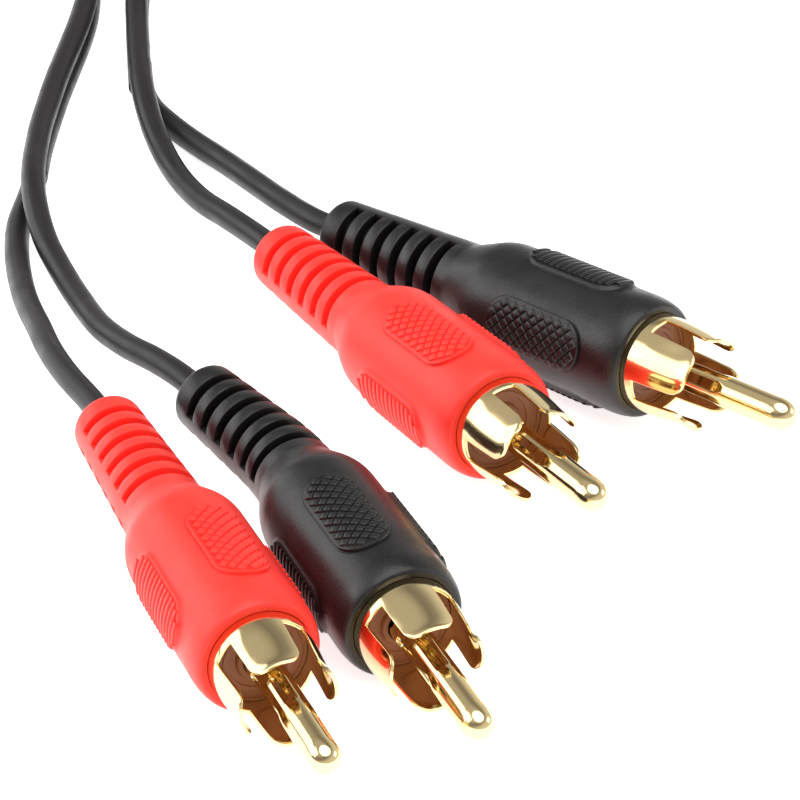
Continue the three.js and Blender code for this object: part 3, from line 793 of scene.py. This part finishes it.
def ground_shell():
    period = petal_columns()
    ring_rows = [-2.6, -1.2, 0, RING_FRONT]
    petal_rows = 14
    across = 4 * len(period)
    up = len(ring_rows) - 1 + petal_rows
    bm, spots = sheet_grid(across, up)
    for (column, row), spot in spots.items():
        turn, reach = period[column % len(period)]
        turn += column // len(period) * math.pi / 2
        along = ring_rows[min(row, 3)]
        if row > 3:
            along += (reach - RING_FRONT) * (row - 3) / petal_rows
        radius = shell_radius(along)
        spot.co = (radius * math.cos(turn), radius * math.sin(turn), along)
    gaps = []
    for face in bm.faces:
        middle = face.calc_center_median()
        angle = math.atan2(middle.y, middle.x) % (math.pi / 2)
        off_petal = min(angle, math.pi / 2 - angle)
        if middle.z > RING_FRONT and off_petal > PETAL_HALF:
            gaps.append(face)
    bmesh.ops.delete(bm, geom=gaps, context="FACES")
    bmesh.ops.remove_doubles(bm, verts=bm.verts, dist=0.002)
    bmesh.ops.recalc_face_normals(bm, faces=bm.faces)
    bmesh.ops.solidify(bm, geom=bm.faces[:], thickness=SHELL_WALL)
    cut = crisp_edges(bm, 55, lambda edge: min(end.co.z for end in edge.verts) > -1)
    bmesh.ops.bevel(bm, geom=cut, offset=0.06, offset_type="OFFSET", affect="EDGES", segments=2,
                    profile=0.5, material=-1, clamp_overlap=True)
    return bm


shell = ground_shell()
radii = [spot.co.xy.length for spot in shell.verts]
print("Shell:", len(shell.faces), "faces, radius", round(min(radii), 2), "to", round(max(radii), 2), "mm")

# %% [markdown]
# ## The centre pin
# The pin is a tube too, rolled from sheet, with four long slots that let it spring and a domed
# nose. It is made as the shell was: a grid, wrapped round, whose columns bend round the ends of
# the slots. The nose is the last few rows, drawn in to a point on the axis, and the first row
# closes the rear end, so that only metal is seen through the slots.

# %% Pin
PIN_RADIUS = 1.6
SLOT_SIDE = 0.675
SLOT_START = 0.9
SLOT_END = 8.4
NOSE_START = 15.3
PIN_TIP = 17.1
PIN_WALL = 0.42


def pin_columns():
    """Angles across a slot and the metal after it, each with its distance from the slot's middle."""
    edge = math.asin(SLOT_SIDE / PIN_RADIUS)
    slot_part = [math.asin(SLOT_SIDE / PIN_RADIUS * math.sin(math.pi / 2 * i / 6)) for i in range(-6, 7)]
    metal = math.pi / 2 - 2 * edge
    return slot_part + [edge + metal * i / 5 for i in range(1, 5)]


def centre_pin():
    period = pin_columns()
    across = 4 * len(period)
    slot_rows, body_rows, nose_rows = 10, 8, 9
    bm, spots = sheet_grid(across, 2 + slot_rows + body_rows + nose_rows)
    for (column, row), spot in spots.items():
        turn = period[column % len(period)]
        offset = min(SLOT_SIDE, abs(PIN_RADIUS * math.sin(turn)))
        if column % len(period) > 12:
            offset = SLOT_SIDE
        rounding = SLOT_SIDE - math.sqrt(max(0, SLOT_SIDE ** 2 - offset ** 2))
        start, end = SLOT_START + rounding, SLOT_END - rounding
        turn += column // len(period) * math.pi / 2
        radius = PIN_RADIUS
        if row < 2:
            along = -2 + (start + 2) * row / 2
            radius = PIN_RADIUS if row else 0
        elif row <= 2 + slot_rows:
            along = start + (end - start) * (row - 2) / slot_rows
        elif row <= 2 + slot_rows + body_rows:
            along = end + (NOSE_START - end) * (row - 2 - slot_rows) / body_rows
        else:
            dome = math.pi / 2 * (row - 2 - slot_rows - body_rows) / nose_rows
            radius = (PIN_RADIUS - 0.04) * math.cos(dome)
            along = NOSE_START + 0.05 + (PIN_TIP - NOSE_START - 0.05) * math.sin(dome)
        spot.co = (radius * math.cos(turn), radius * math.sin(turn), along)
    gaps = []
    for face in bm.faces:
        middle = face.calc_center_median()
        angle = math.atan2(middle.y, middle.x) % (math.pi / 2)
        offset = PIN_RADIUS * math.sin(min(angle, math.pi / 2 - angle))
        if offset < SLOT_SIDE and SLOT_START < middle.z < SLOT_END:
            rounding = SLOT_SIDE - math.sqrt(SLOT_SIDE ** 2 - offset ** 2)
            if SLOT_START + rounding < middle.z + 0.02 and middle.z - 0.02 < SLOT_END - rounding:
                gaps.append(face)
    bmesh.ops.delete(bm, geom=gaps, context="FACES")
    bmesh.ops.remove_doubles(bm, verts=bm.verts, dist=0.002)
    bmesh.ops.recalc_face_normals(bm, faces=bm.faces)
    bmesh.ops.solidify(bm, geom=bm.faces[:], thickness=PIN_WALL)
    cut = crisp_edges(bm, 55, lambda edge: 0.5 < edge.verts[0].co.z < 9.4)
    bmesh.ops.bevel(bm, geom=cut, offset=0.05, offset_type="OFFSET", affect="EDGES", segments=2,
                    profile=0.5, material=-1, clamp_overlap=True)
    return bm


pin = centre_pin()
radii = [spot.co.xy.length for spot in pin.verts]
print("Pin:", len(pin.faces), "faces, radius", round(min(radii), 2), "to", round(max(radii), 2), "mm")

# %% [markdown]
# ## The insulator
# A brown disc of hard plastic holds the pin in the middle of the shell. Its face is recessed a
# little and has low rings on it, left by the mould. It is one outline, spun.

# %% Insulator
INSULATOR_OUTLINE = [
    (1.62, -3), (1.62, -0.85), (1.72, -0.7), (2.15, -0.7), (2.28, -0.82), (2.34, -1.1), (3, -1.1),
    (3.06, -0.98), (3.5, -0.98), (3.56, -1.1), (4.2, -1.1), (4.28, -0.95), (4.6, -0.95),
    (4.6, -3), (1.62, -3),
]
insulator = turned_outline(INSULATOR_OUTLINE, 64)
print("Insulator:", len(insulator.faces), "faces")

# %% Contacts in place
contacts = []
insulators = []
for name, plug in PLUGS.items():
    matrix = plug_matrix(plug, plug["contacts"])
    contacts.append(set_piece(shell, name + "_petals", [name + "_ground_shell"], matrix))
    contacts.append(set_piece(pin, name + "_split_pin", [name + "_centre_pin"], matrix))
    insulators.append(set_piece(insulator, name + "_disc", [name + "_insulator"], matrix))
print("Contacts:", len(contacts))

# %% [markdown]
# ## The strap round the coil
# A strip of hook-and-loop tape holds the coil. It goes once round the wound cord and its end
# lies back over itself on top. The strip is a row of points round a box with round corners,
# drawn out sideways into a flat band, which is then given its thickness.

# %% Strap
def strap_route():
    """Points round the section of the coil, in the upright plane through its middle, in millimetres."""
    inner, outer, low, high, corner = 22.5, 32.8, 0.3, 12.1, 1.8
    centres = [(inner + corner, high - corner, 90), (inner + corner, low + corner, 180),
               (outer - corner, low + corner, 270), (outer - corner, high - corner, 0)]
    points = [(26.5, high), (24.9, high)]
    for out, up, first in centres:
        for i in range(7):
            angle = math.radians(first + 90 * i / 6)
            points.append((out + corner * math.cos(angle), up + corner * math.sin(angle)))
    points += [(29.5, high), (27.6, high + 0.15), (26.2, high + 0.62), (24.6, high + 0.66)]
    return [(COIL_CENTRE[0], COIL_CENTRE[1] + out, up) for out, up in points]


strap_bm = bmesh.new()
strap_spots = [strap_bm.verts.new((x - 4, y, z)) for x, y, z in strap_route()]
strap_edges = [strap_bm.edges.new(pair) for pair in zip(strap_spots, strap_spots[1:])]
strip = bmesh.ops.extrude_edge_only(strap_bm, edges=strap_edges)["geom"]
far_side = [part for part in strip if isinstance(part, bmesh.types.BMVert)]
bmesh.ops.translate(strap_bm, vec=(8, 0, 0), verts=far_side)
bmesh.ops.recalc_face_normals(strap_bm, faces=strap_bm.faces)
bmesh.ops.solidify(strap_bm, geom=strap_bm.faces[:], thickness=0.5)
strap = set_piece(strap_bm, "strap", ["coil_tie"], Matrix.Scale(MM, 4))
strap_bm.free()
print("Strap:", [[round(v / MM, 1) for v in c] for c in (strap.bound_box[0], strap.bound_box[6])])

# %% [markdown]
# ## Building blocks for the finishes
# Moulded plastic is never one flat colour. It has a fine grain that the tool left on it and a
# faint unevenness in its colour, and its grooves are painted darker and richer, as painted shade.
# These effects are wanted on several pieces, so each is a node group with named sockets, built once.
# A group gives out only masks, heights and colours. The shader itself stays in each material.

# %% Group helper
def new_group(name, sockets):
    """An empty node group. Each socket is its name, IN or OUT, its kind, and its default or None."""
    group = bpy.data.node_groups.new(name, "ShaderNodeTree")
    for title, way, kind, default in sockets:
        socket = group.interface.new_socket(name=title, in_out=way + "PUT", socket_type="NodeSocket" + kind)
        if default is not None:
            socket.default_value = default
    return group, group.nodes.new("NodeGroupInput"), group.nodes.new("NodeGroupOutput")


def math_node(nodes, operation, *values):
    node = nodes.new("ShaderNodeMath")
    node.operation = operation
    for socket, value in zip(node.inputs, values):
        if value is not None:
            socket.default_value = value
    return node


grain, grain_in, grain_out = new_group("moulded_grain", [
    ("Size", "IN", "Float", 4000.0), ("Cloudiness", "IN", "Float", 300.0),
    ("Height", "OUT", "Float", None), ("Cloud", "OUT", "Float", None), ("Sparkle", "OUT", "Float", None),
])
grain_place = grain.nodes.new("ShaderNodeTexCoord")
fine = grain.nodes.new("ShaderNodeTexNoise")
fine.inputs["Detail"].default_value = 3
cloud = grain.nodes.new("ShaderNodeTexNoise")
cloud.inputs["Detail"].default_value = 4
sparkle = math_node(grain.nodes, "GREATER_THAN", None, 0.66)
for noise, size in ((fine, "Size"), (cloud, "Cloudiness")):
    grain.links.new(grain_place.outputs["Object"], noise.inputs["Vector"])
    grain.links.new(grain_in.outputs[size], noise.inputs["Scale"])
grain.links.new(fine.outputs["Fac"], grain_out.inputs["Height"])
grain.links.new(cloud.outputs["Fac"], grain_out.inputs["Cloud"])
grain.links.new(fine.outputs["Fac"], sparkle.inputs[0])
grain.links.new(sparkle.outputs[0], grain_out.inputs["Sparkle"])
print("Grain group:", [item.name for item in grain.interface.items_tree])

# %% Painted groove shade and random tone
groove, groove_in, groove_out = new_group("groove_shade_and_tone", [
    ("Surface", "IN", "Color", (0.8, 0.8, 0.8, 1)), ("Painted shade colour", "IN", "Color", (0.1, 0.1, 0.1, 1)),
    ("Cloud", "IN", "Float", 0.5), ("Color", "OUT", "Color", None),
])
# The painted shade value on each point blends the surface colour towards the darker painted shade colour:
# painted shade in the slots, on the pad floors and round the pads. The cloud then raises or lowers the tone a
# little at random.
depth = groove.nodes.new("ShaderNodeAttribute")
depth.attribute_name = "painted_shade"
blend = groove.nodes.new("ShaderNodeMix")
blend.data_type = "RGBA"
shade = groove.nodes.new("ShaderNodeHueSaturation")
value = groove.nodes.new("ShaderNodeMapRange")
value.inputs["From Min"].default_value = 0.25
value.inputs["From Max"].default_value = 0.75
value.inputs["To Min"].default_value = 0.93
value.inputs["To Max"].default_value = 1.07
groove.links.new(depth.outputs["Fac"], blend.inputs["Factor"])
groove.links.new(groove_in.outputs["Surface"], blend.inputs["A"])
groove.links.new(groove_in.outputs["Painted shade colour"], blend.inputs["B"])
groove.links.new(groove_in.outputs["Cloud"], value.inputs["Value"])
groove.links.new(blend.outputs["Result"], shade.inputs["Color"])
groove.links.new(value.outputs["Result"], shade.inputs["Value"])
groove.links.new(shade.outputs["Color"], groove_out.inputs["Color"])
print("Groove group:", [item.name for item in groove.interface.items_tree])

# %% [markdown]
# ## The plastic finishes
# One recipe serves the red and the black moulding, the cord jacket, the insulator, the strap
# and the hidden plastic inside the plugs: a colour with a darker colour painted into its grooves
# and hollows as painted shade, grain as a bump, and roughness that drifts a little with the cloud.

# %% Plastic recipe
def plastic(name, surface, shade_colour, rough, grain_size, bump, spread=0.08, sheen=0.0, gloss=0.5):
    """A moulded plastic: its colour and the darker colour of its painted groove shade, its roughness, its
    grain size as grains a metre, and its bump in mm.
    """
    finish = bpy.data.materials.new(name)
    finish.use_nodes = True
    nodes, links = finish.node_tree.nodes, finish.node_tree.links
    shader = nodes["Principled BSDF"]
    texture = nodes.new("ShaderNodeGroup")
    texture.node_tree = grain
    texture.inputs["Size"].default_value = grain_size
    colour = nodes.new("ShaderNodeGroup")
    colour.node_tree = groove
    colour.inputs["Surface"].default_value = (*surface, 1)
    colour.inputs["Painted shade colour"].default_value = (*shade_colour, 1)
    drift = nodes.new("ShaderNodeMapRange")
    drift.inputs["From Min"].default_value = 0.3
    drift.inputs["From Max"].default_value = 0.7
    drift.inputs["To Min"].default_value = rough - spread
    drift.inputs["To Max"].default_value = rough + spread
    relief = nodes.new("ShaderNodeBump")
    relief.inputs["Strength"].default_value = 1
    relief.inputs["Distance"].default_value = bump * MM
    links.new(texture.outputs["Cloud"], colour.inputs["Cloud"])
    links.new(texture.outputs["Cloud"], drift.inputs["Value"])
    links.new(texture.outputs["Height"], relief.inputs["Height"])
    links.new(colour.outputs["Color"], shader.inputs["Base Color"])
    links.new(drift.outputs["Result"], shader.inputs["Roughness"])
    links.new(relief.outputs["Normal"], shader.inputs["Normal"])
    shader.inputs["Sheen Weight"].default_value = sheen
    shader.inputs["Specular IOR Level"].default_value = gloss
    return finish


# The second colour of each is the darker colour painted into its grooves and hollows, as painted shade.
red_pvc = plastic("red_moulding", (0.95, 0.04, 0.028), (0.93, 0.014, 0.008), 0.42, 3500, 0.012, gloss=0.3)
black_pvc = plastic("black_moulding", (0.009, 0.008, 0.009), (0.002, 0.002, 0.002), 0.36, 3800, 0.026,
                    gloss=0.4)
jacket = plastic("cord_jacket", (0.013, 0.0115, 0.012), (0.005, 0.005, 0.005), 0.42, 3000, 0.01, gloss=0.36)
disc_plastic = plastic("insulator_plastic", (0.3, 0.11, 0.05), (0.15, 0.05, 0.022), 0.45, 2500, 0.01)
core_plastic = plastic("core_insulation", (0.8, 0.76, 0.7), (0.6, 0.55, 0.5), 0.5, 3000, 0.01)
strap_cloth = plastic("strap_cloth", (0.016, 0.016, 0.017), (0.005, 0.005, 0.005), 0.85, 1800, 0.12,
                      sheen=0.3)
print("Plastics:", red_pvc.name, black_pvc.name, jacket.name, disc_plastic.name)

# %% [markdown]
# ## Gold plate and copper
# Gold has no surface colour of its own: its colour is the tint of what it mirrors. So the finish
# is a metal with a warm tint and a very low roughness, and its character comes from the sky and
# the table around it. Fine drawn marks in the roughness keep it from looking like a perfect
# mirror.

# %% Metal recipe
def metal(name, tint, rough, mark_size, bump):
    """A polished metal with faint marks: its tint, its roughness, marks a metre, and its bump in mm."""
    finish = bpy.data.materials.new(name)
    finish.use_nodes = True
    nodes, links = finish.node_tree.nodes, finish.node_tree.links
    shader = nodes["Principled BSDF"]
    texture = nodes.new("ShaderNodeGroup")
    texture.node_tree = grain
    texture.inputs["Size"].default_value = mark_size
    texture.inputs["Cloudiness"].default_value = 220
    drift = nodes.new("ShaderNodeMapRange")
    drift.inputs["From Min"].default_value = 0.35
    drift.inputs["From Max"].default_value = 0.7
    drift.inputs["To Min"].default_value = rough * 0.7
    drift.inputs["To Max"].default_value = rough * 1.5
    tone = nodes.new("ShaderNodeMix")
    tone.data_type = "RGBA"
    tone.inputs["A"].default_value = (*tint, 1)
    tone.inputs["B"].default_value = (*[part * 0.9 for part in tint], 1)
    relief = nodes.new("ShaderNodeBump")
    relief.inputs["Distance"].default_value = bump * MM
    links.new(texture.outputs["Cloud"], drift.inputs["Value"])
    links.new(texture.outputs["Cloud"], tone.inputs["Factor"])
    links.new(tone.outputs["Result"], shader.inputs["Base Color"])
    links.new(drift.outputs["Result"], shader.inputs["Roughness"])
    links.new(texture.outputs["Height"], relief.inputs["Height"])
    links.new(relief.outputs["Normal"], shader.inputs["Normal"])
    shader.inputs["Metallic"].default_value = 1
    return finish


gold = metal("gold_plate", (0.95, 0.75, 0.4), 0.1, 900, 0.003)
copper = metal("bare_copper", (0.85, 0.42, 0.25), 0.3, 3000, 0.01)
print("Metals:", gold.name, copper.name)

# %% [markdown]
# ## Each piece gets its finish
# The pieces made above take theirs, and so do the parts of the frame that stay: the end of the
# jacket, the core and the gathered shield wire, which are all hidden inside the moulding.

# %% Hand out the finishes
def dress(piece, finish):
    piece.data.materials.clear()
    piece.data.materials.append(finish)


for name, piece in mouldings.items():
    dress(piece, red_pvc if name.endswith("red") else black_pvc)
for piece in contacts:
    dress(piece, gold)
for piece in insulators:
    dress(piece, disc_plastic)
for piece in cords:
    dress(piece, jacket)
dress(strap, strap_cloth)
for name in PLUGS:
    dress(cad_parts[name + "_jacket_end"], jacket)
    dress(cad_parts[name + "_core_wire"], core_plastic)
    dress(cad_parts[name + "_shield_wire"], copper)
print("Dressed:", len(mouldings) + len(contacts) + len(insulators) + len(cords) + 1, "pieces")
